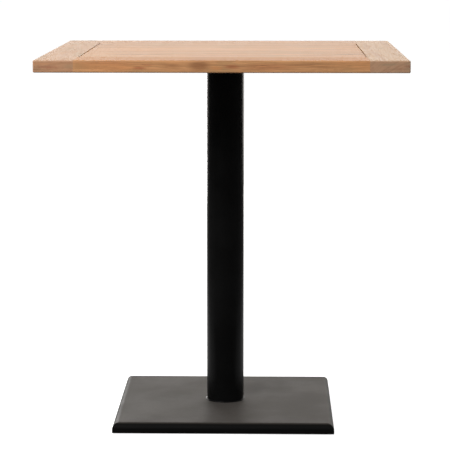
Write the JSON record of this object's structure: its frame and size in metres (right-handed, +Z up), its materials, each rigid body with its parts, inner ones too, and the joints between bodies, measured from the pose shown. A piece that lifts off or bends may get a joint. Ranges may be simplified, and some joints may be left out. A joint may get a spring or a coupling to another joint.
{
  "type": "bistro table",
  "caption": "Square bistro table with a slatted hardwood top in a board frame, a round steel column and a flat weighted square base on levelling feet.",
  "frame": {"origin": "on the floor, under the middle of the column", "axes": "+Z up; +Y towards the back, along the stiles; +X to the right, along the slats"},
  "size_m": [0.7, 0.7, 0.744],
  "materials": {
    "teak_frame": "oiled teak, smooth, with end grain on the stiles",
    "teak_slats": "oiled teak, smooth, fine straight grain",
    "black_powder_coat": "fine-textured matte black powder coat",
    "black_primer": "smooth matte black primer",
    "zinc_steel": "bright zinc plate",
    "cast_iron": "rough sand casting, painted black",
    "black_nylon": "moulded black nylon"
  },
  "bodies": {
    "table": {"left_stile": "teak_frame", "right_stile": "teak_frame", "front_rail": "teak_frame", "back_rail": "teak_frame", "slat_1": "teak_slats", "slat_2": "teak_slats", "slat_3": "teak_slats", "slat_4": "teak_slats", "slat_5": "teak_slats", "column_tube": "black_powder_coat", "base_cover": "black_powder_coat", "spider_plate": "black_primer", "spider_hub": "black_primer", "column_foot_ring": "black_primer", "spider_screws": "zinc_steel", "tie_rod": "zinc_steel", "rod_top_washer": "zinc_steel", "rod_top_nut": "zinc_steel", "rod_bottom_washer": "zinc_steel", "rod_bottom_nut": "zinc_steel", "base_ballast": "cast_iron"},
    "front_left_pad": {"foot_front_left_pad": "black_nylon"},
    "front_left_stud": {"foot_front_left_stud": "zinc_steel"},
    "front_right_pad": {"foot_front_right_pad": "black_nylon"},
    "front_right_stud": {"foot_front_right_stud": "zinc_steel"},
    "back_left_pad": {"foot_back_left_pad": "black_nylon"},
    "back_left_stud": {"foot_back_left_stud": "zinc_steel"},
    "back_right_pad": {"foot_back_right_pad": "black_nylon"},
    "back_right_stud": {"foot_back_right_stud": "zinc_steel"}
  },
  "joints": [
    {"name": "front_left_extend", "type": "slide", "parent": "table", "child": "front_left_pad", "axis": [0, 0, -1], "range_m": [0, 0.006]},
    {"name": "front_left_turn", "type": "hinge", "parent": "front_left_pad", "child": "front_left_stud", "pos_m": [-0.18, -0.18, 0.01], "axis": [0, 0, -1], "range_deg": [0, 1728]},
    {"name": "front_right_extend", "type": "slide", "parent": "table", "child": "front_right_pad", "axis": [0, 0, -1], "range_m": [0, 0.006]},
    {"name": "front_right_turn", "type": "hinge", "parent": "front_right_pad", "child": "front_right_stud", "pos_m": [0.18, -0.18, 0.01], "axis": [0, 0, -1], "range_deg": [0, 1728]},
    {"name": "back_left_extend", "type": "slide", "parent": "table", "child": "back_left_pad", "axis": [0, 0, -1], "range_m": [0, 0.006]},
    {"name": "back_left_turn", "type": "hinge", "parent": "back_left_pad", "child": "back_left_stud", "pos_m": [-0.18, 0.18, 0.01], "axis": [0, 0, -1], "range_deg": [0, 1728]},
    {"name": "back_right_extend", "type": "slide", "parent": "table", "child": "back_right_pad", "axis": [0, 0, -1], "range_m": [0, 0.006]},
    {"name": "back_right_turn", "type": "hinge", "parent": "back_right_pad", "child": "back_right_stud", "pos_m": [0.18, 0.18, 0.01], "axis": [0, 0, -1], "range_deg": [0, 1728]}
  ],
  "couplings": [
    {"joint": "front_left_extend", "follows": "front_left_turn", "m_per_rad": 0.00019894},
    {"joint": "front_right_extend", "follows": "front_right_turn", "m_per_rad": 0.00019894},
    {"joint": "back_left_extend", "follows": "back_left_turn", "m_per_rad": 0.00019894},
    {"joint": "back_right_extend", "follows": "back_right_turn", "m_per_rad": 0.00019894}
  ]
}
